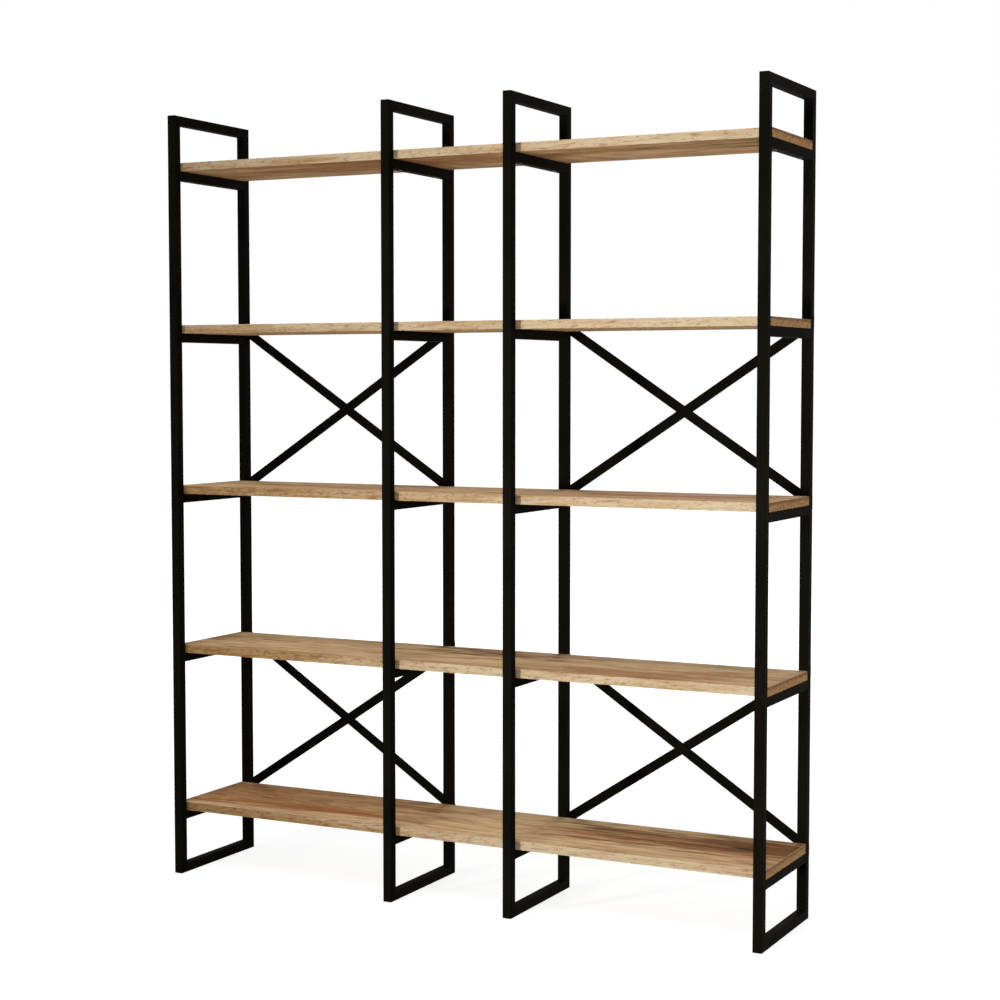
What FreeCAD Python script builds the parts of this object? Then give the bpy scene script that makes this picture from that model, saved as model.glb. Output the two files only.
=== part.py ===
# Open shelving unit. Four welded ladder frames of square steel tube stand in a row and carry
# five wood-faced boards, which run through all the frames between the front and the back
# uprights. Flat steel strips cross behind the two side bays at two levels.
# Frame: +X to the right, +Y to the back, +Z up, with the origin on the floor under the middle
# of the outline. Lengths are in millimetres.
import FreeCAD, Part
import math
import os
import Sketcher

doc = FreeCAD.newDocument("shelving_unit")
sizes = doc.addObject("Spreadsheet::Sheet", "sizes")

# Counts and names that set how many pieces there are
SHELF_COUNT = 5
FRAME_X = {
    "left_end": "-sizes.end_frame_x",
    "left_inner": "-sizes.inner_frame_x",
    "right_inner": "sizes.inner_frame_x",
    "right_end": "sizes.end_frame_x",
}
BAY_X = {"left": "-sizes.side_bay_x", "right": "sizes.side_bay_x"}
# A brace spans from this shelf, counted from 0 at the bottom, to the next one up.
BRACE_SHELF = {"lower": 0, "upper": 2}

# Sizes that are chosen
DRIVING_SIZES = (
    ("tube_side", "20", "outside width of the square tube"),
    ("tube_wall", "1.5", "wall of the tube"),
    ("tube_corner", "1.2", "rounding of the tube's long edges"),
    ("side_bay", "520", "clear width of each side bay"),
    ("middle_bay", "263", "clear width of the middle bay"),
    ("shelf_gap", "335", "clear height from one bearer to the next"),
    ("end_gap", "100", "clear height from a rail to the nearest bearer"),
    ("board_depth", "244", "depth of a board over its edge band"),
    ("board_thickness", "18", "thickness of a board"),
    ("board_corner", "3", "rounding of a board's upright corners"),
    ("board_clearance", "0.5", "room between a board and the uprights, front and back"),
    ("band_thickness", "1", "thickness of the edge band"),
    ("strip_width", "20", "width of a brace strip"),
    ("strip_thickness", "3", "thickness of a brace strip"),
    ("strip_setback", "1", "strip end inside the upright's outer side"),
    ("bend_room", "6", "flat left round a strip's seat before it bends"),
    ("hole_clearance", "0.25", "room round a screw in its hole"),
    ("thread_clearance", "0.05", "room round a thread"),
    ("shelf_screw_radius", "2", "shelf screw over its thread"),
    ("shelf_screw_inset", "45", "shelf screw from the upright"),
    ("shelf_screw_cover", "4", "board left above the shelf screw's point"),
    ("shelf_screw_point", "4", "length of the shelf screw's point"),
    ("pilot_room", "1", "pilot hole past the shelf screw's point"),
    ("sink_land", "0.1", "wall left plain past a shelf screw's countersink"),
    ("cross_span", "3.6", "span of the shelf screw's cross recess"),
    ("cross_slot", "1", "width of each slot of the recess"),
    ("cross_depth", "1.1", "depth of the recess"),
    ("brace_screw_radius", "2.5", "brace screw over its thread"),
    ("brace_screw_grip", "9", "brace screw past the strip"),
    ("brace_screw_bevel", "0.6", "bevel at the brace screw's tip"),
    ("button_radius", "4.75", "radius of the brace screw's button head"),
    ("button_height", "2.75", "height of the button head"),
    ("button_round", "2.2", "rounding of the button head"),
    ("hex_width", "3", "hexagon socket across its flats"),
    ("hex_depth", "1.6", "depth of the hexagon socket"),
    ("nut_radius", "3.5", "body of the rivet nut"),
    ("nut_room", "5.5", "room between the rivet nut and the upright's front wall"),
    ("bulb_spread", "1.2", "spread of the rivet nut's crushed bulb past its body"),
    ("bulb_length", "3", "length of the crushed bulb"),
)

# Sizes that follow from them
DERIVED_SIZES = (
    ("half_tube", "=tube_side / 2", "half a tube"),
    ("tube_bore", "=tube_side - 2 * tube_wall", "inside width of the tube"),
    ("side_pitch", "=side_bay + tube_side", "end frame to inner frame"),
    ("inner_frame_x", "=(middle_bay + tube_side) / 2", "middle of an inner frame"),
    ("end_frame_x", "=inner_frame_x + side_pitch", "middle of an end frame"),
    ("side_bay_x", "=inner_frame_x + side_pitch / 2", "middle of a side bay"),
    ("unit_width", "=2 * end_frame_x + tube_side", "overall width"),
    ("inside_depth", "=board_depth + 2 * board_clearance", "front upright to back upright"),
    ("frame_depth", "=inside_depth + 2 * tube_side", "depth of a frame"),
    ("unit_depth", "=frame_depth + 2 * strip_thickness", "overall depth, with two strips crossed"),
    ("frame_front", "=-unit_depth / 2", "front face of the frames"),
    ("frame_back", "=frame_front + frame_depth", "back face of the frames"),
    ("frame_middle", "=frame_front + frame_depth / 2", "middle of the frames' depth"),
    ("shelf_pitch", "=shelf_gap + tube_side", "one shelf to the next"),
    ("first_shelf", "=end_gap + 2 * tube_side", "underside of the lowest board"),
    ("unit_height", f"=first_shelf + {SHELF_COUNT - 1} * shelf_pitch + end_gap + tube_side",
     "overall height"),
    ("core_length", "=unit_width - 2 * band_thickness", "length of a board's core"),
    ("core_depth", "=board_depth - 2 * band_thickness", "depth of a board's core"),
    ("core_corner", "=board_corner - band_thickness", "corner of a board's core"),
    ("shelf_screw_spacing", "=inside_depth - 2 * shelf_screw_inset", "two screws of one bearer"),
    ("shelf_screw_hole", "=shelf_screw_radius + hole_clearance", "hole for a shelf screw in a bearer"),
    ("shelf_screw_sink", "=tube_wall - sink_land", "depth of a shelf screw's countersink"),
    ("shelf_screw_head", "=shelf_screw_hole + shelf_screw_sink - thread_clearance",
     "radius of the shelf screw's flush head"),
    ("shelf_screw_bite", "=board_thickness - shelf_screw_cover", "shelf screw inside the board"),
    ("shelf_screw_length", "=tube_side + shelf_screw_bite", "shelf screw with its head"),
    ("brace_foot", "=first_shelf + board_thickness / 2", "lowest brace screw"),
    ("brace_angle", "=atan(shelf_pitch / side_pitch)", "lean of a strip from level"),
    ("strip_reach", "=side_pitch / 2 / cos(brace_angle)", "crossing to a brace screw"),
    ("strip_end", "=strip_reach + (half_tube - strip_setback) / cos(brace_angle)",
     "crossing to a strip's end"),
    ("strip_lean", "=strip_width / 2 * tan(brace_angle)", "slant of a strip's upright end cut"),
    ("strip_flat", "=strip_width / 2 * (1 + abs(cos(2 * brace_angle))) / sin(2 * brace_angle)"
     " + bend_room", "half the flat of the rear strip at the crossing"),
    ("strip_seat", "=strip_reach - half_tube / cos(brace_angle) - strip_lean - bend_room",
     "crossing to the rear strip's flat on the upright"),
    ("brace_screw_length", "=strip_thickness + brace_screw_grip", "brace screw under its head"),
    ("nut_sink", "=tube_wall / 2", "depth of the rivet nut's flush head"),
    ("nut_length", "=tube_side - tube_wall - nut_room", "length of the rivet nut"),
)

for row, (alias, content, meaning) in enumerate(DRIVING_SIZES + DERIVED_SIZES, start=1):
    sizes.set(f"A{row}", meaning)
    sizes.set(f"B{row}", content)
    sizes.setAlias(f"B{row}", alias)
doc.recompute()

# Numbers by which a sketch knows a line's or arc's points, and its own origin
START, END, CENTRE = range(1, 4)
SKETCH_ORIGIN = (-1, 1)

# Turns that bring a piece's own Z axis to where it lies in the unit
UPRIGHT_FACING_FRONT = FreeCAD.Rotation()
UPRIGHT_FACING_BACK = FreeCAD.Rotation(FreeCAD.Vector(0, 0, 1), 180)
LEVEL_FACING_UP = FreeCAD.Rotation(FreeCAD.Vector(1, 0, 0), -90)
LEVEL_FACING_DOWN = FreeCAD.Rotation(FreeCAD.Vector(1, 0, 0), 90)
DRIVEN_FORWARD = LEVEL_FACING_DOWN
LEANING = FreeCAD.Rotation(FreeCAD.Vector(0, 1, 0), 1)


def value(formula):
    """Number that a formula on the sheet gives."""
    result = sizes.evalExpression(formula)
    return float(getattr(result, "Value", result))


def origin_feature(body, role):
    """Plane or axis of a body's own origin."""
    return next(item for item in body.Origin.OriginFeatures if item.Role == role)


def new_body(label, turn, x, y, z):
    """Empty piece, turned once and placed by formulas."""
    body = doc.addObject("PartDesign::Body", label)
    body.Label = label
    body.Placement = FreeCAD.Placement(FreeCAD.Vector(), turn)
    for axis, formula in zip("xyz", (x, y, z)):
        body.setExpression(f"Placement.Base.{axis}", formula)
    return body


def new_sketch(body, role):
    """Sketch on one of a body's origin planes."""
    sketch = body.newObject("Sketcher::SketchObject", "sketch")
    sketch.AttachmentSupport = [(origin_feature(body, role), "")]
    sketch.MapMode = "FlatFace"
    return sketch


def bind(sketch, formula, kind, *points):
    """Constraint whose number follows a formula."""
    index = sketch.addConstraint(Sketcher.Constraint(kind, *points, value(formula)))
    name = f"{kind.lower()}_{index}"
    sketch.renameConstraint(index, name)
    sketch.setExpression(f"Constraints.{name}", formula)


def place_point(sketch, geometry, point, x, y):
    """Tie one point of a sketch to a place given by two formulas."""
    bind(sketch, x, "DistanceX", *SKETCH_ORIGIN, geometry, point)
    bind(sketch, y, "DistanceY", *SKETCH_ORIGIN, geometry, point)


def draw_outline(sketch, corners):
    """Closed outline of straight lines through corners, each a pair of formulas."""
    points = [FreeCAD.Vector(value(x), value(y), 0) for x, y in corners]
    lines = [sketch.addGeometry(Part.LineSegment(start, end))
             for start, end in zip(points, points[1:] + points[:1])]
    for line, following, (x, y) in zip(lines, lines[1:] + lines[:1], corners):
        sketch.addConstraint(Sketcher.Constraint("Coincident", line, END, following, START))
        place_point(sketch, line, START, x, y)


def draw_square(sketch, half_side):
    """Sharp-cornered square round the sketch's origin."""
    draw_outline(sketch, [(half_side, half_side), (f"-{half_side}", half_side),
                          (f"-{half_side}", f"-{half_side}"), (half_side, f"-{half_side}")])


def draw_circle(sketch, x, y, radius):
    """Circle at a place given by two formulas."""
    circle = Part.Circle(FreeCAD.Vector(value(x), value(y), 0), FreeCAD.Vector(0, 0, 1), value(radius))
    geometry = sketch.addGeometry(circle)
    place_point(sketch, geometry, CENTRE, x, y)
    bind(sketch, radius, "Radius", geometry)


def draw_rounded_rectangle(sketch, width, depth, radius):
    """Rectangle round the sketch's origin, with the same arc at its four corners."""
    reach_x = value(width) / 2 - value(radius)
    reach_y = value(depth) / 2 - value(radius)
    arcs = []
    for quarter, (side_x, side_y) in enumerate(((1, 1), (-1, 1), (-1, -1), (1, -1))):
        centre = FreeCAD.Vector(side_x * reach_x, side_y * reach_y, 0)
        circle = Part.Circle(centre, FreeCAD.Vector(0, 0, 1), value(radius))
        arc = Part.ArcOfCircle(circle, quarter * math.pi / 2, (quarter + 1) * math.pi / 2)
        arcs.append(sketch.addGeometry(arc))
    sides = []
    for arc, following in zip(arcs, arcs[1:] + arcs[:1]):
        start = sketch.Geometry[arc].EndPoint
        end = sketch.Geometry[following].StartPoint
        side = sketch.addGeometry(Part.LineSegment(start, end))
        for before, after in ((arc, side), (side, following)):
            sketch.addConstraint(Sketcher.Constraint("Tangent", before, END, after, START))
        sides.append(side)
    back, left, front, right = sides
    for side in (back, front):
        sketch.addConstraint(Sketcher.Constraint("Horizontal", side))
    for side in (left, right):
        sketch.addConstraint(Sketcher.Constraint("Vertical", side))
    for arc in arcs[1:]:
        sketch.addConstraint(Sketcher.Constraint("Equal", arcs[0], arc))
    bind(sketch, radius, "Radius", arcs[0])
    bind(sketch, f"{depth} / 2", "DistanceY", *SKETCH_ORIGIN, back, START)
    bind(sketch, f"-{depth} / 2", "DistanceY", *SKETCH_ORIGIN, front, START)
    bind(sketch, f"-{width} / 2", "DistanceX", *SKETCH_ORIGIN, left, START)
    bind(sketch, f"{width} / 2", "DistanceX", *SKETCH_ORIGIN, right, START)


def add_pad(body, sketch, length, side="One side", backward=False):
    """Solid drawn out of a sketch, along its normal or backward."""
    pad = body.newObject("PartDesign::Pad", "pad")
    pad.Profile = sketch
    pad.SideType = side
    pad.Reversed = backward
    pad.setExpression("Length", length)
    return pad


def cut_through(body, sketch):
    """Cut right through a piece, both ways from the sketch."""
    pocket = body.newObject("PartDesign::Pocket", "pocket")
    pocket.Profile = sketch
    pocket.Type = "ThroughAll"
    pocket.SideType = "Symmetric"
    return pocket


def cut_along_normal(body, sketch, depth):
    """Cut of a set depth on the side that the sketch's normal points to."""
    pocket = body.newObject("PartDesign::Pocket", "pocket")
    pocket.Profile = sketch
    pocket.Reversed = True
    pocket.setExpression("Length", depth)
    return pocket


def circular_edges(feature, radius, along_axis, place):
    """Names of a feature's whole circles of one radius at one place along an axis."""
    return [f"Edge{number}" for number, edge in enumerate(feature.Shape.Edges, start=1)
            if edge.Curve.TypeId == "Part::GeomCircle"
            and math.isclose(edge.Curve.Radius, value(radius), rel_tol=1e-6)
            and math.isclose(getattr(edge.CenterOfMass, along_axis), value(place), abs_tol=1e-6)]


def add_countersink(body, pocket, radius, face, depth):
    """Bevel round the mouths of a cut's holes, at a face across the piece's own Y axis."""
    doc.recompute()
    countersink = body.newObject("PartDesign::Chamfer", "countersink")
    countersink.Base = (pocket, circular_edges(pocket, radius, "y", face))
    countersink.setExpression("Size", depth)


def shelf_underside(shelf):
    """Height of a board's underside, shelves counted from 0 at the bottom."""
    return f"sizes.first_shelf + {shelf} * sizes.shelf_pitch"


# Square tube: its long edges are rounded and its bore is plain.
def add_tube(body, length):
    section = new_sketch(body, "XY_Plane")
    draw_rounded_rectangle(section, "sizes.tube_side", "sizes.tube_side", "sizes.tube_corner")
    draw_square(section, "sizes.tube_bore / 2")
    add_pad(body, section, length)


# Mitred tube: both ends are sawn at 45 degrees, with the full length on the side that faces
# -Y in the piece's own axes. Each saw cut runs half a tube past the corner.
def add_mitred_tube(body, length):
    add_tube(body, length)
    cuts = new_sketch(body, "YZ_Plane")
    start = "-sizes.half_tube"
    inner_start = "sizes.tube_side + sizes.half_tube"
    draw_outline(cuts, [("-sizes.tube_side", start), ("sizes.tube_side", start),
                        ("sizes.tube_side", inner_start)])
    end = f"{length} + sizes.half_tube"
    inner_end = f"{length} - sizes.tube_side - sizes.half_tube"
    draw_outline(cuts, [("-sizes.tube_side", end), ("sizes.tube_side", inner_end),
                        ("sizes.tube_side", end)])
    cut_through(body, cuts)


# Rivet nut holes: one through the upright's rear wall behind each braced shelf's end,
# countersunk so that the nut lies flush under the strip.
def add_rivet_nut_holes(body):
    holes = new_sketch(body, "XZ_Plane")
    radius = "sizes.nut_radius + sizes.thread_clearance"
    for first in BRACE_SHELF.values():
        for shelf in (first, first + 1):
            draw_circle(holes, "0", f"sizes.brace_foot + {shelf} * sizes.shelf_pitch", radius)
    pocket = cut_along_normal(body, holes, "sizes.tube_side")
    add_countersink(body, pocket, radius, "-sizes.half_tube", "sizes.nut_sink")


# Ladder frame: two uprights, a top and a bottom rail, mitred at the four corners and welded,
# with one bearer butted between the uprights under each board.
def make_frame(name, x):
    front = new_body(f"{name}_front_upright", UPRIGHT_FACING_FRONT, x,
                     "sizes.frame_front + sizes.half_tube", "0")
    add_mitred_tube(front, "sizes.unit_height")

    back = new_body(f"{name}_back_upright", UPRIGHT_FACING_BACK, x,
                    "sizes.frame_back - sizes.half_tube", "0")
    add_mitred_tube(back, "sizes.unit_height")
    add_rivet_nut_holes(back)

    top = new_body(f"{name}_top_rail", LEVEL_FACING_UP, x,
                   "sizes.frame_front", "sizes.unit_height - sizes.half_tube")
    add_mitred_tube(top, "sizes.frame_depth")

    bottom = new_body(f"{name}_bottom_rail", LEVEL_FACING_DOWN, x,
                      "sizes.frame_back", "sizes.half_tube")
    add_mitred_tube(bottom, "sizes.frame_depth")

    bearers = [make_bearer(f"{name}_bearer_{shelf + 1}", x, shelf) for shelf in range(SHELF_COUNT)]
    return [front, back, top, bottom] + bearers


# Bearer: a straight length of tube with two clear holes for the screws into the board,
# countersunk from below so that the heads lie flush.
def make_bearer(label, x, shelf):
    body = new_body(label, LEVEL_FACING_UP, x, "sizes.frame_front + sizes.tube_side",
                    f"{shelf_underside(shelf)} - sizes.half_tube")
    add_tube(body, "sizes.inside_depth")
    holes = new_sketch(body, "XZ_Plane")
    for y in ("sizes.shelf_screw_inset", "sizes.inside_depth - sizes.shelf_screw_inset"):
        draw_circle(holes, "0", y, "sizes.shelf_screw_hole")
    pocket = cut_through(body, holes)
    add_countersink(body, pocket, "sizes.shelf_screw_hole", "sizes.half_tube", "sizes.shelf_screw_sink")
    return body


# Shelf board: a faced chipboard core with blind pilot holes in its underside, two over each
# bearer, and an edge band wrapped round its four edges.
def make_board(shelf):
    core = new_body(f"shelf_{shelf + 1}_board", FreeCAD.Rotation(), "0", "sizes.frame_middle",
                    shelf_underside(shelf))
    outline = new_sketch(core, "XY_Plane")
    draw_rounded_rectangle(outline, "sizes.core_length", "sizes.core_depth", "sizes.core_corner")
    add_pad(core, outline, "sizes.board_thickness")
    pilots = new_sketch(core, "XY_Plane")
    for x in FRAME_X.values():
        for y in ("-sizes.shelf_screw_spacing / 2", "sizes.shelf_screw_spacing / 2"):
            draw_circle(pilots, x, y, "sizes.shelf_screw_radius + sizes.thread_clearance")
    cut_along_normal(core, pilots, "sizes.shelf_screw_bite + sizes.pilot_room")

    band = new_body(f"shelf_{shelf + 1}_edge_band", FreeCAD.Rotation(), "0", "sizes.frame_middle",
                    shelf_underside(shelf))
    ring = new_sketch(band, "XY_Plane")
    draw_rounded_rectangle(ring, "sizes.unit_width", "sizes.board_depth", "sizes.board_corner")
    draw_rounded_rectangle(ring, "sizes.core_length", "sizes.core_depth", "sizes.core_corner")
    add_pad(band, ring, "sizes.board_thickness")
    return [core, band]


# Brace strip: flat steel bar, bored for a screw at each end. A falling strip leans down to the
# right, a rising strip the other way. In the piece's own axes X runs along the strip.
def new_strip(label, lean, bay, first_shelf):
    middle = f"sizes.brace_foot + {first_shelf} * sizes.shelf_pitch + sizes.shelf_pitch / 2"
    body = new_body(label, LEANING, BAY_X[bay], "sizes.frame_back", middle)
    body.setExpression("Placement.Rotation.Angle", f"{lean} * sizes.brace_angle")
    return body


def draw_strip_holes(sketch):
    for x in ("-sizes.strip_reach", "sizes.strip_reach"):
        draw_circle(sketch, x, "0", "sizes.brace_screw_radius + sizes.hole_clearance")


# Front strip: straight, flat against the back of the uprights, its ends sawn upright.
def make_front_strip(label, bay, first_shelf):
    body = new_strip(label, "1", bay, first_shelf)
    outline = new_sketch(body, "XZ_Plane")
    upper, lower = "sizes.strip_width / 2", "-sizes.strip_width / 2"
    draw_outline(outline, [("-sizes.strip_end - sizes.strip_lean", upper),
                           ("-sizes.strip_end + sizes.strip_lean", lower),
                           ("sizes.strip_end + sizes.strip_lean", lower),
                           ("sizes.strip_end - sizes.strip_lean", upper)])
    draw_strip_holes(outline)
    add_pad(body, outline, "sizes.strip_thickness", backward=True)
    return body


# Rear strip: flat on the uprights at its ends and set out by one thickness in the middle, so
# that it passes behind the front strip. It is bent first and its ends are sawn upright after.
def make_rear_strip(label, bay, first_shelf):
    body = new_strip(label, "-1", bay, first_shelf)
    bent = new_sketch(body, "XY_Plane")
    blank_end = "sizes.strip_end + sizes.strip_lean + sizes.half_tube"
    halves = [(blank_end, "0"), ("sizes.strip_seat", "0"), ("sizes.strip_flat", "sizes.strip_thickness")]
    near_face = [(f"-({x})", y) for x, y in halves] + halves[::-1]
    far_face = [(x, f"{y} + sizes.strip_thickness") for x, y in near_face[::-1]]
    draw_outline(bent, near_face + far_face)
    add_pad(body, bent, "sizes.strip_width", side="Symmetric")

    cuts = new_sketch(body, "XZ_Plane")
    for side in ("-", ""):
        outer = f"{side}({blank_end} + sizes.half_tube)"
        upper = f"{side}sizes.strip_width"
        lower = f"-({upper})"
        lean_upper = f"{side}(sizes.strip_end + 2 * sizes.strip_lean)"
        lean_lower = f"{side}(sizes.strip_end - 2 * sizes.strip_lean)"
        draw_outline(cuts, [(lean_upper, upper), (outer, upper), (outer, lower), (lean_lower, lower)])
    draw_strip_holes(cuts)
    cut_through(body, cuts)
    return body


# Turned fastener: its half section is spun round an axis that stands at the left end frame.
def add_turned(body, half_section):
    section = new_sketch(body, "XZ_Plane")
    section.setExpression("AttachmentOffset.Base.x", FRAME_X["left_end"])
    draw_outline(section, half_section)
    turned = body.newObject("PartDesign::Revolution", "turned")
    turned.Profile = section
    turned.ReferenceAxis = (section, ["V_Axis"])
    return turned


# Drive recess: cut into the outer face of a screw's head, which lies at a set height.
def add_drive(body, head_face, outline, depth):
    drive = new_sketch(body, "XY_Plane")
    drive.setExpression("AttachmentOffset.Base.x", FRAME_X["left_end"])
    drive.setExpression("AttachmentOffset.Base.z", head_face)
    draw_outline(drive, outline)
    cut_along_normal(body, drive, depth)


# Pattern of a whole fastener: repeated along the piece's own axes, each step a role, a count
# and a formula, and then mirrored to the right half of the unit.
def repeat_fastener(body, steps):
    doc.recompute()
    pattern = body.newObject("PartDesign::MultiTransform", "pattern")
    pattern.TransformMode = "Whole shape"
    moves = []
    for role, count, spacing in steps:
        row = body.newObject("PartDesign::LinearPattern", "row")
        row.Direction = (origin_feature(body, role), [""])
        row.Mode = "Spacing"
        row.Occurrences = count
        row.setExpression("Offset", spacing)
        moves.append(row)
    mirror = body.newObject("PartDesign::Mirrored", "mirror")
    mirror.MirrorPlane = (origin_feature(body, "YZ_Plane"), [""])
    pattern.Transformations = moves + [mirror]
    body.Tip = pattern


# Shelf screws: countersunk wood screws, driven up through each bearer into the board above it.
def make_shelf_screws():
    body = new_body("shelf_screws", FreeCAD.Rotation(), "0",
                    "sizes.frame_middle - sizes.shelf_screw_spacing / 2",
                    "sizes.first_shelf - sizes.tube_side")
    head_face, head, radius = "0", "sizes.shelf_screw_head", "sizes.shelf_screw_radius"
    add_turned(body, [("0", head_face), (head, head_face), (radius, f"{head} - {radius}"),
                      (radius, "sizes.shelf_screw_length - sizes.shelf_screw_point"),
                      ("0", "sizes.shelf_screw_length")])
    near, far = "sizes.cross_slot / 2", "sizes.cross_span / 2"
    cross = [(near, near), (near, far), (f"-{near}", far), (f"-{near}", near),
             (f"-{far}", near), (f"-{far}", f"-{near}"), (f"-{near}", f"-{near}"),
             (f"-{near}", f"-{far}"), (near, f"-{far}"), (near, f"-{near}"),
             (far, f"-{near}"), (far, near)]
    add_drive(body, head_face, cross, "sizes.cross_depth")
    repeat_fastener(body, [("X_Axis", 2, "sizes.side_pitch"),
                           ("Y_Axis", 2, "sizes.shelf_screw_spacing"),
                           ("Z_Axis", SHELF_COUNT, "sizes.shelf_pitch")])
    return body


# Places of the brace screws and rivet nuts: both ends of a strip, then both levels of braces
def repeat_brace_fastener(body):
    levels = sorted(BRACE_SHELF.values())
    repeat_fastener(body, [("X_Axis", 2, "sizes.side_pitch"),
                           ("Y_Axis", 2, "sizes.shelf_pitch"),
                           ("Y_Axis", len(levels), f"{levels[1] - levels[0]} * sizes.shelf_pitch")])


# Brace screws: button head machine screws, driven forward through a strip's end. The head
# lies below its seat at zero height, and the shank above.
def make_brace_screws():
    body = new_body("brace_screws", DRIVEN_FORWARD, "0",
                    "sizes.frame_back + sizes.strip_thickness", "sizes.brace_foot")
    head_face, head = "-sizes.button_height", "sizes.button_radius"
    radius, tip = "sizes.brace_screw_radius", "sizes.brace_screw_length"
    turned = add_turned(body, [("0", head_face), (head, head_face), (head, "0"), (radius, "0"),
                               (radius, f"{tip} - sizes.brace_screw_bevel"),
                               (f"{radius} - sizes.brace_screw_bevel", tip), ("0", tip)])
    doc.recompute()
    rounding = body.newObject("PartDesign::Fillet", "rounding")
    rounding.Base = (turned, circular_edges(turned, head, "z", head_face))
    rounding.setExpression("Radius", "sizes.button_round")
    point, flat = "sizes.hex_width / sqrt(3)", "sizes.hex_width / 2"
    hexagon = [(point, "0"), (f"{point} / 2", flat), (f"-{point} / 2", flat),
               (f"-{point}", "0"), (f"-{point} / 2", f"-{flat}"), (f"{point} / 2", f"-{flat}")]
    add_drive(body, head_face, hexagon, "sizes.hex_depth")
    repeat_brace_fastener(body)
    return body


# Rivet nuts: flush head in the upright's rear wall, bulb crushed against the wall's inside.
def make_rivet_nuts():
    body = new_body("brace_rivet_nuts", DRIVEN_FORWARD, "0", "sizes.frame_back", "sizes.brace_foot")
    bore = "sizes.brace_screw_radius + sizes.thread_clearance"
    outside, bulb = "sizes.nut_radius", "sizes.nut_radius + sizes.bulb_spread"
    bulb_end = "sizes.tube_wall + sizes.bulb_length"
    add_turned(body, [(bore, "0"), (f"{outside} + sizes.nut_sink", "0"),
                      (outside, "sizes.nut_sink"), (outside, "sizes.tube_wall"),
                      (bulb, "sizes.tube_wall"), (bulb, bulb_end), (outside, bulb_end),
                      (outside, "sizes.nut_length"), (bore, "sizes.nut_length")])
    repeat_brace_fastener(body)
    return body


# The unit, in the order it is put together
pieces = []
for frame_name, frame_x in FRAME_X.items():
    pieces += make_frame(frame_name, frame_x)
for shelf_number in range(SHELF_COUNT):
    pieces += make_board(shelf_number)
pieces.append(make_shelf_screws())
pieces.append(make_rivet_nuts())
for bay_name in BAY_X:
    for level_name, level_shelf in BRACE_SHELF.items():
        brace = f"{bay_name}_{level_name}_brace"
        pieces.append(make_front_strip(f"{brace}_front_strip", bay_name, level_shelf))
        pieces.append(make_rear_strip(f"{brace}_rear_strip", bay_name, level_shelf))
pieces.append(make_brace_screws())
doc.recompute()

# Every feature is sound, every cut has taken something away, and every piece has its solids.
for item in doc.Objects:
    if "Invalid" in item.State or "Error" in item.State:
        raise RuntimeError(f"{item.Label} failed: {item.State}")
    if item.TypeId == "PartDesign::Pocket" and item.Shape.Volume >= item.BaseFeature.Shape.Volume:
        raise RuntimeError(f"{item.Label} cuts nothing")
screws_per_bearer = 2
strip_ends = 2 * 2 * len(BAY_X) * len(BRACE_SHELF)
solid_counts = {"shelf_screws": screws_per_bearer * SHELF_COUNT * len(FRAME_X),
                "brace_screws": strip_ends, "brace_rivet_nuts": strip_ends}
for piece in pieces:
    if piece.Shape.isNull() or not piece.Shape.isValid():
        raise RuntimeError(f"{piece.Label} has no sound shape")
    if len(piece.Shape.Solids) != solid_counts.get(piece.Label, 1):
        raise RuntimeError(f"{piece.Label} has {len(piece.Shape.Solids)} solids")

os.makedirs("parts", exist_ok=True)
for piece in pieces:
    piece.Shape.exportStep(os.path.join("parts", f"{piece.Label}.step"))
print(f"{len(pieces)} pieces, {value('sizes.unit_width'):.0f} x {value('sizes.unit_depth'):.0f}"
      f" x {value('sizes.unit_height'):.0f} mm")
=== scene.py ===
# Open shelving unit of black square steel tube and oak-decor boards. The sections follow the
# unit as it is put together: frames, boards, edge bands, screws, braces. The studio comes last.
import math

import bpy
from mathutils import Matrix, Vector


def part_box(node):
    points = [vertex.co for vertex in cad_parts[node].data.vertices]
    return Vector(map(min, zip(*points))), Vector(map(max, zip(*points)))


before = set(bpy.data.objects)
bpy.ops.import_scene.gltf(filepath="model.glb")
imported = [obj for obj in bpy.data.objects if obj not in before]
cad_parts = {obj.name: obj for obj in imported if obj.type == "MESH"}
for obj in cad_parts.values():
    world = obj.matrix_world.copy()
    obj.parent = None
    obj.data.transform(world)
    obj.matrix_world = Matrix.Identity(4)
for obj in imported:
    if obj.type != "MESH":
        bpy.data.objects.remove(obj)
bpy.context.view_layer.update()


# Ladder frames: uprights, rails and bearers of 20 mm square steel tube with rounded long edges.
# The tubes are sawn, mitred at the corners, welded and ground flush. Each frame is then powder
# coated as one piece, which hides the welds.
FRAMES = ("left_end", "left_inner", "right_inner", "right_end")
SHELVES = range(1, 6)


def to_linear(hex_colour):
    """Linear colour of an sRGB hex value."""
    shares = [int(hex_colour[i:i + 2], 16) / 255 for i in (1, 3, 5)]
    return [s / 12.92 if s <= 0.04045 else ((s + 0.055) / 1.055) ** 2.4 for s in shares] + [1.0]


def add_node(tree, kind, inputs=None, **settings):
    """Adds a node, sets its fields, and feeds each input from a socket, a node or a value."""
    node = tree.nodes.new(kind)
    for field, setting in settings.items():
        setattr(node, field, setting)
    for name, source in (inputs or {}).items():
        if isinstance(source, bpy.types.Node):
            source = source.outputs[0]
        if isinstance(source, bpy.types.NodeSocket):
            tree.links.new(source, node.inputs[name])
        else:
            node.inputs[name].default_value = source
    return node


def new_finish(name):
    """An empty material and its node tree."""
    material = bpy.data.materials.new(name)
    material.use_nodes = True
    material.node_tree.nodes.clear()
    return material, material.node_tree


def dress(node_name, material):
    """Gives a CAD piece its finish."""
    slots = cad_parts[node_name].data.materials
    slots.clear()
    slots.append(material)


# A colour Mix node's factor, its two colours and its result, by number
FACTOR, UNDER, OVER, MIXED = 0, 6, 7, 2

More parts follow.
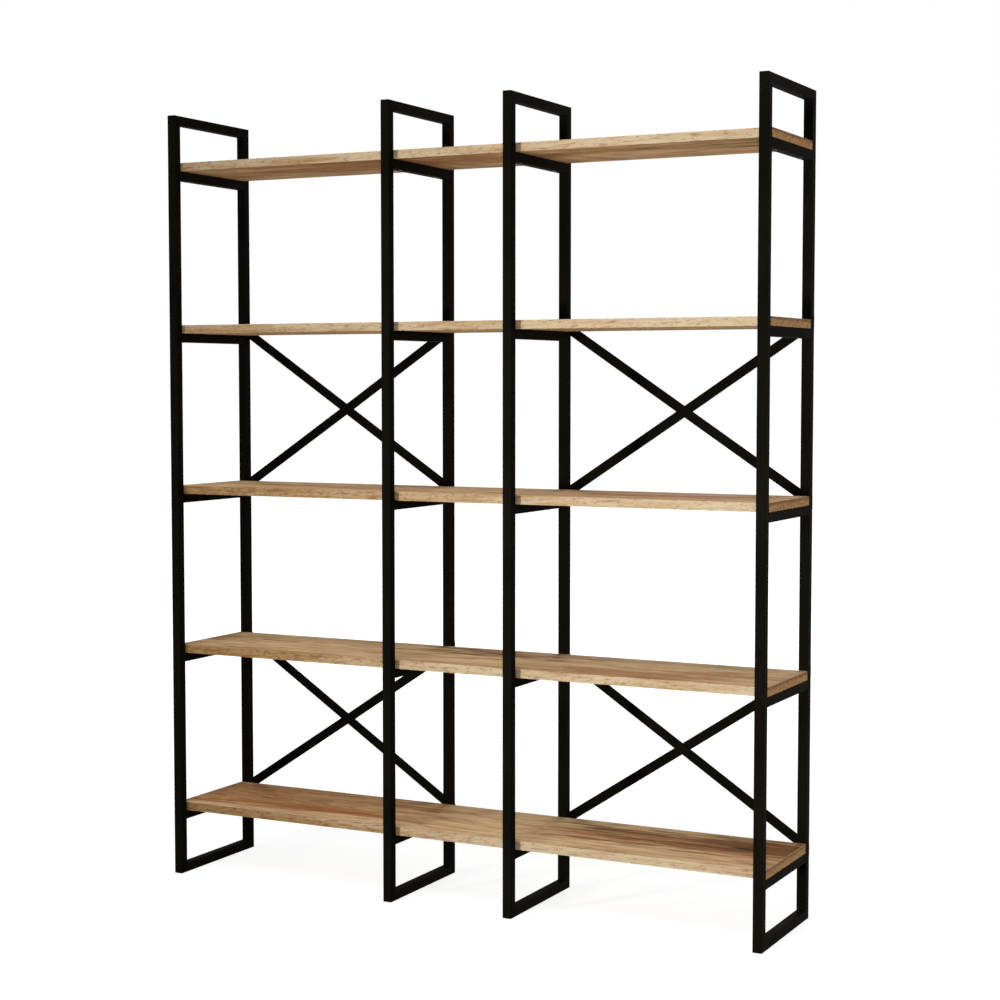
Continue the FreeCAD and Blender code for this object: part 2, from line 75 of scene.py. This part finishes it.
# Black powder coat, fine texture: dry resin sprayed on and baked. It gives a dead matt, warm
# black that hardly reflects, with a faint sheen at low angles and a grain like fine sandpaper.
powder_coat, tree = new_finish("black_powder_coat_fine_texture")
place = add_node(tree, "ShaderNodeTexCoord").outputs["Object"]
# The real grain is 0.3 mm. It is drawn at 4 mm, which is what shows in the whole unit's picture.
grain = add_node(tree, "ShaderNodeTexNoise", {"Vector": place, "Scale": 1 / 0.004, "Detail": 3.0,
                                              "Roughness": 0.7})
# Film thickness drifts over about 150 mm along a sprayed tube.
drift = add_node(tree, "ShaderNodeTexNoise", {"Vector": place, "Scale": 1 / 0.150, "Detail": 2.0})
film = add_node(tree, "ShaderNodeMath", {0: grain, 1: 0.35, 2: drift}, operation="MULTIPLY_ADD")
tone = add_node(tree, "ShaderNodeMapRange", {"Value": film, "From Min": 0.45, "From Max": 0.90})
colour = add_node(tree, "ShaderNodeMix", {FACTOR: tone, UNDER: to_linear("#100D09"),
                                          OVER: to_linear("#191510")}, data_type="RGBA")
gloss = add_node(tree, "ShaderNodeMapRange", {"Value": grain, "From Min": 0.3, "From Max": 0.7,
                                              "To Min": 0.55, "To Max": 0.75})
relief = add_node(tree, "ShaderNodeBump", {"Height": grain, "Distance": 0.0002, "Strength": 0.4})
coat = add_node(tree, "ShaderNodeBsdfPrincipled",
                {"Base Color": colour.outputs[MIXED], "Roughness": gloss, "Normal": relief,
                 "IOR": 1.5, "Specular IOR Level": 0.006})
add_node(tree, "ShaderNodeOutputMaterial", {"Surface": coat})

for frame_name in FRAMES:
    for tube in ("front_upright", "back_upright", "top_rail", "bottom_rail"):
        dress(f"{frame_name}_{tube}", powder_coat)
    for shelf in SHELVES:
        dress(f"{frame_name}_bearer_{shelf}", powder_coat)


# Shelf boards: 18 mm chipboard faced on both sides with printed melamine paper. They run
# through all four frames, lie on the bearers and are screwed to them from below.
board_under, board_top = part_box("shelf_1_board")
next_board_under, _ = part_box("shelf_2_board")
SHELF_PITCH = next_board_under.z - board_under.z
BOARD_MIDDLE = (board_under.z + board_top.z) / 2


def print_ink(tree, under, place, blot, span, ink, share, near=None):
    """Prints an ink over a colour, and returns the printed colour and the ink's cover.

    The ink lies in blots of a size along X, Y and Z, in metres. The span is the noise at which it
    begins and is full, and share is its cover there. Near gathers it where that is high.
    """
    stretched = add_node(tree, "ShaderNodeMapping", {"Vector": place, "Scale": [1 / s for s in blot]})
    amount = add_node(tree, "ShaderNodeTexNoise", {"Vector": stretched, "Scale": 1.0, "Detail": 3.0,
                                                   "Roughness": 0.6})
    if near is not None:
        amount = add_node(tree, "ShaderNodeMath", {0: amount, 1: near}, operation="ADD")
    cover = add_node(tree, "ShaderNodeMapRange", {"Value": amount, "From Min": span[0], "From Max": span[1],
                                                  "To Max": share}, interpolation_type="SMOOTHSTEP")
    printed = add_node(tree, "ShaderNodeMix", {FACTOR: cover, UNDER: under, OVER: to_linear(ink)},
                       data_type="RGBA")
    return printed.outputs[MIXED], cover.outputs[0]


def gather(tree, place, spots):
    """Sum of spots on the sheet, each with a centre, a reach along X and Y, and a strength.

    A spot is strongest at its centre and falls to none at the edge of its ellipse.
    """
    total = 0.0
    for centre, reach, strength in spots:
        stretched = add_node(tree, "ShaderNodeMapping",
                             {"Vector": place, "Scale": (1 / reach[0], 1 / reach[1], 0.0),
                              "Location": (-centre[0] / reach[0], -centre[1] / reach[1], 0.0)})
        ellipse = add_node(tree, "ShaderNodeTexGradient", {"Vector": stretched}, gradient_type="SPHERICAL")
        total = add_node(tree, "ShaderNodeMath", {0: ellipse.outputs["Fac"], 1: strength, 2: total},
                         operation="MULTIPLY_ADD")
    return total


# Rustic oak decor on melamine: a printed plank with pale sapwood, a dark heart, rusty streaks, short
# dark checks and a few knots, pressed with a shallow wood grain. It gives a matt golden brown with
# lengthwise figure and almost no gloss.
oak_decor, tree = new_finish("rustic_oak_decor_embossed_melamine")
place = add_node(tree, "ShaderNodeTexCoord").outputs["Object"]
# Each board's sheet is cut 1.6 m further along the print than that of the board below, and the sheet under a
# board comes from another stretch than the one on top. That stretch is placed so that the brown tone lies
# under the top board's left and middle, as painted shade.
NEXT_SHEET = (1.60, 0.03, 2.3)
UNDERSIDE_SHEET_PLACED_AS_SHADE = (-6.68, -0.04, 1.1)
axes = add_node(tree, "ShaderNodeSeparateXYZ", {"Vector": place})
stack = add_node(tree, "ShaderNodeMath", {0: axes.outputs["Z"], 1: SHELF_PITCH}, operation="DIVIDE")
number = add_node(tree, "ShaderNodeMath", {0: stack}, operation="FLOOR")
level = add_node(tree, "ShaderNodeMath", {0: axes.outputs["Z"], 1: SHELF_PITCH}, operation="MODULO")
below = add_node(tree, "ShaderNodeMath", {0: level, 1: BOARD_MIDDLE}, operation="LESS_THAN")
top_cut = add_node(tree, "ShaderNodeVectorMath", {0: NEXT_SHEET, "Scale": number}, operation="SCALE")
under_cut = add_node(tree, "ShaderNodeVectorMath", {0: UNDERSIDE_SHEET_PLACED_AS_SHADE, "Scale": below}, operation="SCALE")
cut = add_node(tree, "ShaderNodeVectorMath", {0: top_cut, 1: under_cut}, operation="ADD")
sheet = add_node(tree, "ShaderNodeVectorMath", {0: place, 1: cut}, operation="ADD")
# Long slow bends of the grain, about 550 mm long and 70 mm wide. Noise stays mostly within 0.2 of its
# mean of 0.5, so a sway of 50 mm bends the grain by up to about 10 mm.
NOISE_MEAN = (0.5, 0.5, 0.5)
GRAIN_SWAY = (0.0, 0.05, 0.05)
bend_place = add_node(tree, "ShaderNodeMapping", {"Vector": sheet, "Scale": (1 / 0.55, 1 / 0.07, 1 / 0.07)})
bend = add_node(tree, "ShaderNodeTexNoise", {"Vector": bend_place, "Scale": 1.0, "Detail": 2.0})
sway = add_node(tree, "ShaderNodeVectorMath", {0: bend.outputs["Color"], 1: NOISE_MEAN}, operation="SUBTRACT")
grain = add_node(tree, "ShaderNodeVectorMath", {0: sway, 1: GRAIN_SWAY, 2: sheet}, operation="MULTIPLY_ADD")
# Brown tone in patches 350 mm long and 60 mm wide, deepest on the lowest board's left and right end and in a
# cloud on the second board. Spots at an X of 1.6 m and more are on the boards above. The left spot also lies
# under the top board's left and middle, where it is painted shade.
brown_near = gather(tree, grain, [((-0.52, 0.000), (0.62, 0.210), 0.40), ((0.64, 0.030), (0.42, 0.160), 0.36),
                                  ((2.00, -0.040), (0.32, 0.080), 0.36)])
colour, _ = print_ink(tree, to_linear("#EBC897"), grain, (0.35, 0.06, 0.06), (0.46, 0.76), "#B07B4A", 0.85,
                      brown_near)
# Ray flecks: pale dashes 1 mm wide in the print, drawn 26 mm long and 8 mm wide so that they show
colour, _ = print_ink(tree, colour, grain, (0.026, 0.008, 0.008), (0.50, 0.72), "#F2D4A6", 0.45)
# Rust: streaks 600 mm long and 18 mm wide, with a strong one behind the lowest board's front sapwood
# and two on the third board
rust_near = gather(tree, grain, [((-0.36, -0.053), (0.46, 0.038), 0.36), ((2.78, 0.060), (0.50, 0.110), 0.24),
                                 ((3.60, 0.050), (0.44, 0.120), 0.27)])
colour, _ = print_ink(tree, colour, grain, (0.60, 0.018, 0.018), (0.56, 0.78), "#AE6A3A", 0.86, rust_near)
# Dark heart: streaks 200 mm long and 14 mm wide, gathered at the lowest board's right end and in the
# second board's middle bay
heart_near = gather(tree, grain, [((0.62, 0.040), (0.58, 0.150), 0.39), ((1.63, 0.090), (0.34, 0.120), 0.28)])
colour, _ = print_ink(tree, colour, grain, (0.20, 0.014, 0.014), (0.60, 0.80), "#70421C", 0.88, heart_near)
# Sapwood: streaks 250 mm long and 20 mm wide that join to pale strips, along the lowest board's front edge on
# the left and along its back edge. The back strip is partly sapwood print and partly painted light, paler
# where the board above shades the back.
sapwood_and_painted_light_near = gather(tree, grain, [((-0.26, -0.114), (0.56, 0.046), 0.60), ((0.16, 0.122), (0.60, 0.050), 0.50)])
colour, _ = print_ink(tree, colour, grain, (0.25, 0.02, 0.02), (0.58, 0.78), "#EDC697", 0.85, sapwood_and_painted_light_near)
# Growth rings: the level lines of a form 1 m long and 110 mm wide, as on a board sawn flat. Each
# ring darkens slowly to its late wood and then ends sharply.
RING_LEVELS = 22.0
form_place = add_node(tree, "ShaderNodeMapping", {"Vector": grain, "Scale": (1 / 1.00, 1 / 0.11, 1 / 0.11)})
form = add_node(tree, "ShaderNodeTexNoise", {"Vector": form_place, "Scale": 1.0, "Detail": 1.0})
height = add_node(tree, "ShaderNodeMath", {0: form, 1: RING_LEVELS}, operation="MULTIPLY")
ring = add_node(tree, "ShaderNodeMath", {0: height}, operation="FRACT")
late_wood = add_node(tree, "ShaderNodeMapRange", {"Value": ring, "From Min": 0.35, "From Max": 1.0,
                                                  "To Max": 0.26}, interpolation_type="SMOOTHSTEP")
colour = add_node(tree, "ShaderNodeMix", {FACTOR: late_wood, UNDER: colour, OVER: to_linear("#7A4E27")},
                  data_type="RGBA").outputs[MIXED]
# Clouds: soft brown bars 80 mm long and 20 mm wide
colour, _ = print_ink(tree, colour, grain, (0.08, 0.020, 0.020), (0.48, 0.76), "#85582E", 0.44)
# Fibres: 1 mm wide and 70 mm long in the print, drawn 6 mm wide so that they show
colour, fibres = print_ink(tree, colour, grain, (0.07, 0.006, 0.006), (0.52, 0.72), "#714A25", 0.50)
# Checks: fine dark cracks 90 mm long, 0.5 mm wide in the print, drawn 6 mm wide so that they show
colour, checks = print_ink(tree, colour, grain, (0.09, 0.006, 0.006), (0.66, 0.78), "#402613", 0.75)
# Knots: up to 60 mm long and 17 mm wide, one in a cell of 333 by 91 mm, in a few of the cells only
KNOT_CELLS_IN_A_METRE = (3.0, 11.0, 11.0)
CELLS_WITHOUT_KNOT = 0.72
knot_place = add_node(tree, "ShaderNodeMapping", {"Vector": grain, "Scale": KNOT_CELLS_IN_A_METRE})
knot_cells = add_node(tree, "ShaderNodeTexVoronoi", {"Vector": knot_place, "Scale": 1.0})
knot_core = add_node(tree, "ShaderNodeMapRange", {"Value": knot_cells, "From Min": 0.15,
                                                  "From Max": 0.04}, interpolation_type="SMOOTHSTEP")
# Each cell draws a number from 0 to 1, and those above the share without a knot get one.
cell_draw = add_node(tree, "ShaderNodeSeparateColor", {"Color": knot_cells.outputs["Color"]})
chosen = add_node(tree, "ShaderNodeMath", {0: cell_draw, 1: CELLS_WITHOUT_KNOT}, operation="GREATER_THAN")
knots = add_node(tree, "ShaderNodeMath", {0: knot_core, 1: chosen}, operation="MULTIPLY")
colour = add_node(tree, "ShaderNodeMix", {FACTOR: knots, UNDER: colour, OVER: to_linear("#3A2516")},
                  data_type="RGBA").outputs[MIXED]
gloss = add_node(tree, "ShaderNodeMapRange", {"Value": fibres, "From Max": 0.5, "To Min": 0.66,
                                              "To Max": 0.82})
hollows = add_node(tree, "ShaderNodeMath", {0: fibres, 1: checks}, operation="ADD")
relief = add_node(tree, "ShaderNodeBump", {"Height": hollows, "Distance": 0.0003, "Strength": 0.4},
                  invert=True)
facing = add_node(tree, "ShaderNodeBsdfPrincipled",
                  {"Base Color": colour, "Roughness": gloss, "Normal": relief, "IOR": 1.5,
                   "Specular IOR Level": 0.015})
add_node(tree, "ShaderNodeOutputMaterial", {"Surface": facing})

for shelf in SHELVES:
    dress(f"shelf_{shelf}_board", oak_decor)


# Edge bands: a 1 mm strip with an oak print is wrapped round each board's four edges. It is glued
# on hot and trimmed flush with both faces.

# Sawn oak print edge band: along the board it looks like the plank's side, and across the ends like end
# grain. It gives a matt tan with short flecks. Its browner tone to the left, strongest on the lower bands, is
# partly print and partly painted shade where the light falls off.
sawn_oak, tree = new_finish("sawn_oak_print_edge_band")
place = add_node(tree, "ShaderNodeTexCoord").outputs["Object"]
axes = add_node(tree, "ShaderNodeSeparateXYZ", {"Vector": place})
# Painted shade: the bands darken towards the left and low down, where the lamp's light falls off.
left_shade = add_node(tree, "ShaderNodeMapRange", {"Value": axes.outputs["X"], "From Min": 0.20,
                                                 "From Max": -0.65, "To Max": 0.32})
# The three lower bands get the most of it: painted shade, darker low down where the light is weaker.
lower = add_node(tree, "ShaderNodeMapRange", {"Value": axes.outputs["Z"], "From Min": 1.25, "From Max": 0.85,
                                              "To Min": 0.15, "To Max": 1.1})
brown_print_and_shade = add_node(tree, "ShaderNodeMath", {0: left_shade, 1: lower}, operation="MULTIPLY")
# The fibres run at a small angle to the board.
FIBRE_ANGLE = math.radians(3.0)
fibre_way = add_node(tree, "ShaderNodeMapping", {"Vector": place, "Rotation": (0.0, FIBRE_ANGLE, 0.0)})
# Golden tone in patches 200 mm long and 15 mm high, as print. They gather to the lower left as painted shade.
colour, _ = print_ink(tree, to_linear("#D7C09D"), place, (0.20, 0.20, 0.015), (0.42, 0.80), "#B58B58", 0.90,
                      brown_print_and_shade)
# Fibres: lines 1 mm high and 60 mm long in the print, drawn 3 mm high so that they show
colour, fibres = print_ink(tree, colour, fibre_way, (0.06, 0.06, 0.003), (0.50, 0.74), "#936A3B", 0.60)
# Pale flecks: 1 mm in the print, drawn 14 mm long and 3 mm high so that they show
colour, _ = print_ink(tree, colour, fibre_way, (0.014, 0.014, 0.003), (0.52, 0.74), "#E4D1B1", 0.45)
# Brown patches: 40 mm long and 6 mm high, as print, with more of them to the lower left as painted shade
patch_and_shade_near = add_node(tree, "ShaderNodeMath", {0: brown_print_and_shade, 1: 0.25}, operation="MULTIPLY")
colour, _ = print_ink(tree, colour, fibre_way, (0.04, 0.04, 0.006), (0.58, 0.74), "#83592F", 0.65, patch_and_shade_near)
# Pores: dots 1 mm across in the print, drawn 10 mm long and 3 mm high so that they show, with more of them to
# the lower left as painted shade
colour, _ = print_ink(tree, colour, fibre_way, (0.010, 0.010, 0.003), (0.54, 0.72), "#8A5C31", 0.65,
                      patch_and_shade_near)
# End grain: brown on the two short ends, darker in the upper half where the heart comes out
level = add_node(tree, "ShaderNodeMath", {0: axes.outputs["Z"], 1: SHELF_PITCH}, operation="MODULO")
ripple = add_node(tree, "ShaderNodeMath", {0: fibres, 1: 0.008, 2: level}, operation="MULTIPLY_ADD")
heart = add_node(tree, "ShaderNodeMapRange", {"Value": ripple, "From Min": BOARD_MIDDLE + 0.001,
                                              "From Max": BOARD_MIDDLE + 0.006})
cross_cut = add_node(tree, "ShaderNodeMix", {FACTOR: heart, UNDER: to_linear("#B48A5C"),
                                             OVER: to_linear("#8A6440")}, data_type="RGBA").outputs[MIXED]
# Cut vessels: dark and pale spots, 1 mm in the print, drawn 5 to 9 mm across so that they show
cross_cut, _ = print_ink(tree, cross_cut, place, (0.009, 0.009, 0.006), (0.46, 0.66), "#5A3B20", 0.60)
cross_cut, _ = print_ink(tree, cross_cut, place, (0.007, 0.007, 0.005), (0.52, 0.70), "#CDA474", 0.55)
surface = add_node(tree, "ShaderNodeNewGeometry")
facing_axes = add_node(tree, "ShaderNodeSeparateXYZ", {"Vector": surface.outputs["True Normal"]})
sideways = add_node(tree, "ShaderNodeMath", {0: facing_axes.outputs["X"]}, operation="ABSOLUTE")
at_end = add_node(tree, "ShaderNodeMapRange", {"Value": sideways, "From Min": 0.4, "From Max": 0.8})
colour = add_node(tree, "ShaderNodeMix", {FACTOR: at_end, UNDER: colour, OVER: cross_cut}, data_type="RGBA")
gloss = add_node(tree, "ShaderNodeMapRange", {"Value": fibres, "From Max": 0.55, "To Min": 0.58,
                                              "To Max": 0.70})
relief = add_node(tree, "ShaderNodeBump", {"Height": fibres, "Distance": 0.0002, "Strength": 0.3},
                  invert=True)
band_surface = add_node(tree, "ShaderNodeBsdfPrincipled",
                        {"Base Color": colour.outputs[MIXED], "Roughness": gloss, "Normal": relief,
                         "IOR": 1.5, "Specular IOR Level": 0.03})
add_node(tree, "ShaderNodeOutputMaterial", {"Surface": band_surface})

for shelf in SHELVES:
    dress(f"shelf_{shelf}_edge_band", sawn_oak)


# Shelf screws: countersunk wood screws up through the bearers into the boards, two to a bearer,
# with their heads flush. They are cold headed, thread rolled and blackened.
def clouded_metal(name, cloud, dark, pale, gloss_span, depth, metallic):
    """A metal finish whose colour, gloss and relief change in clouds of a size in metres."""
    material, tree = new_finish(name)
    place = add_node(tree, "ShaderNodeTexCoord").outputs["Object"]
    clouds = add_node(tree, "ShaderNodeTexNoise", {"Vector": place, "Scale": 1 / cloud, "Detail": 3.0})
    tint = add_node(tree, "ShaderNodeMapRange", {"Value": clouds, "From Min": 0.3, "From Max": 0.7})
    colour = add_node(tree, "ShaderNodeMix", {FACTOR: tint, UNDER: to_linear(dark), OVER: to_linear(pale)},
                      data_type="RGBA")
    gloss = add_node(tree, "ShaderNodeMapRange", {"Value": clouds, "From Min": 0.3, "From Max": 0.7,
                                                  "To Min": gloss_span[0], "To Max": gloss_span[1]})
    relief = add_node(tree, "ShaderNodeBump", {"Height": clouds, "Distance": depth, "Strength": 0.4})
    metal = add_node(tree, "ShaderNodeBsdfPrincipled",
                     {"Base Color": colour.outputs[MIXED], "Metallic": metallic, "Roughness": gloss,
                      "Normal": relief})
    add_node(tree, "ShaderNodeOutputMaterial", {"Surface": metal})
    return material


# Black oxide on steel: the blued surface is sealed with oil, which clouds it over about 2 mm. It
# gives a dark metal with a low, slightly blue shine.
black_oxide = clouded_metal("black_oxide_oiled_steel", cloud=0.002, dark="#17181B", pale="#2A2B2E",
                            gloss_span=(0.32, 0.48), depth=0.00004, metallic=0.9)
dress("shelf_screws", black_oxide)


# Rivet nuts: turned steel nuts pressed into the back uprights' rear walls, zinc plated. The
# braces cover them once they are screwed on.

# Bright zinc plate: electroplated and passivated. It gives a bluish silver, clouded over about 3 mm.
zinc_plate = clouded_metal("bright_zinc_plated_steel", cloud=0.003, dark="#B4B8BC", pale="#D2D3CF",
                           gloss_span=(0.25, 0.42), depth=0.00005, metallic=1.0)
dress("brace_rivet_nuts", zinc_plate)


# Brace strips: 20 x 3 mm flat steel bar behind the side bays, powder coated with the frames. The
# front strip of each pair is straight, and the rear one is set out to pass behind it.
for bay in ("left", "right"):
    for level in ("lower", "upper"):
        dress(f"{bay}_{level}_brace_front_strip", powder_coat)
        dress(f"{bay}_{level}_brace_rear_strip", powder_coat)


# Brace screws: button head socket screws through the strips' ends into the rivet nuts, cold
# headed and blackened like the shelf screws.
dress("brace_screws", black_oxide)


# Studio floor: matt pale grey paper, much larger than the unit. A glow for the camera and for
# reflections makes it look white, and it keeps the soft shadow where the rails stand on it.
FLOOR_REACH = 30.0
floor_mesh = bpy.data.meshes.new("studio_floor")
floor_mesh.from_pydata([(-FLOOR_REACH, -FLOOR_REACH, 0.0), (FLOOR_REACH, -FLOOR_REACH, 0.0),
                        (FLOOR_REACH, FLOOR_REACH, 0.0), (-FLOOR_REACH, FLOOR_REACH, 0.0)],
                       [], [(0, 1, 2, 3)])
floor = bpy.data.objects.new("studio_floor", floor_mesh)
bpy.context.scene.collection.objects.link(floor)


def seen_directly(tree):
    """1 for rays from the camera, in reflections and through glass, and 0 for light on the unit."""
    ray = add_node(tree, "ShaderNodeLightPath")
    seen = add_node(tree, "ShaderNodeMath", {0: ray.outputs["Is Camera Ray"],
                                             1: ray.outputs["Is Glossy Ray"]}, operation="MAXIMUM")
    return add_node(tree, "ShaderNodeMath", {0: seen, 1: ray.outputs["Is Transmission Ray"]},
                    operation="MAXIMUM")


# Matt pale grey paper: pulp rolled to a fine tooth. It gives an even, dull surface.
paper, tree = new_finish("matt_pale_grey_paper")
place = add_node(tree, "ShaderNodeTexCoord").outputs["Object"]
# Paper tooth, 2 mm
tooth = add_node(tree, "ShaderNodeTexNoise", {"Vector": place, "Scale": 1 / 0.002, "Detail": 2.0})
relief = add_node(tree, "ShaderNodeBump", {"Height": tooth, "Distance": 0.0001, "Strength": 0.2})
lit = add_node(tree, "ShaderNodeBsdfDiffuse", {"Color": to_linear("#AAAAAA"), "Normal": relief})
# Its glow rises from 1 m to 4 m away, so that the paper's far edge melts into the surround.
away = add_node(tree, "ShaderNodeVectorMath", {0: place}, operation="LENGTH").outputs["Value"]
strength = add_node(tree, "ShaderNodeMapRange", {"Value": away, "From Min": 1.0, "From Max": 4.0,
                                                 "To Min": 0.83, "To Max": 1.0})
glow = add_node(tree, "ShaderNodeEmission", {"Strength": strength})
seen_lit = add_node(tree, "ShaderNodeAddShader", {0: lit, 1: glow})
floor_look = add_node(tree, "ShaderNodeMixShader", {0: seen_directly(tree), 1: lit, 2: seen_lit})
add_node(tree, "ShaderNodeOutputMaterial", {"Surface": floor_look})
floor_mesh.materials.append(paper)

# Studio surround: white to the camera and in reflections, and a plain even fill on the unit.
FILL = 0.16
world = bpy.data.worlds.new("white_studio")
bpy.context.scene.world = world
world.use_nodes = True
tree = world.node_tree
tree.nodes.clear()
fill = add_node(tree, "ShaderNodeBackground", {"Color": to_linear("#FFFFFF"), "Strength": FILL})
white = add_node(tree, "ShaderNodeBackground", {"Color": to_linear("#FFFFFF"), "Strength": 1.0})
surround = add_node(tree, "ShaderNodeMixShader", {0: seen_directly(tree), 1: fill, 2: white})
add_node(tree, "ShaderNodeOutputWorld", {"Surface": surround})


def hang_lamp(name, place, target, side, watts, beam=math.pi):
    """Square soft box that faces a point. A grid narrows its beam to an angle."""
    lamp = bpy.data.lights.new(name, "AREA")
    lamp.size = side
    lamp.energy = watts
    lamp.spread = beam
    holder = bpy.data.objects.new(name, lamp)
    holder.location = place
    holder.rotation_euler = (Vector(target) - Vector(place)).to_track_quat("-Z", "Y").to_euler()
    bpy.context.scene.collection.objects.link(holder)


# A small gridded box ahead on the left throws the uprights' narrow shadows on the board edges. It is
# turned past the unit, so that its light falls off to the left. A large box overhead lights the
# board tops, one behind lights them to their back edges, and a far one on the right lights the
# right end.
hang_lamp("left_gridded_box", (-1.75, -3.40, 0.70), (2.45, -0.46, 1.00), side=0.30, watts=45.5,
          beam=math.radians(84))
hang_lamp("overhead_soft_box", (0.90, -6.20, 11.00), (0.10, 0.0, 0.60), side=6.0, watts=520.0)
hang_lamp("rear_soft_box", (-0.60, 6.60, 4.20), (0.0, 0.0, 0.85), side=3.0, watts=180.0)
hang_lamp("right_soft_box", (9.0, 0.0, 0.85), (0.0, 0.0, 0.85), side=0.5, watts=230.0)

# Camera: at the photograph's place and angle, a little above the unit's middle and to its right.
lens = bpy.data.cameras.new("camera")
lens.sensor_width = 36.0
lens.lens = 70.75
camera = bpy.data.objects.new("camera", lens)
camera.location = (1.9297, -3.6887, 1.1011)
turn, tilt = math.radians(26.978), math.radians(-3.481)
ahead = Vector((-math.sin(turn) * math.cos(tilt), math.cos(turn) * math.cos(tilt), math.sin(tilt)))
camera.rotation_euler = ahead.to_track_quat("-Z", "Y").to_euler()
bpy.context.scene.collection.objects.link(camera)
bpy.context.scene.camera = camera
bpy.context.scene.view_settings.view_transform = "Standard"
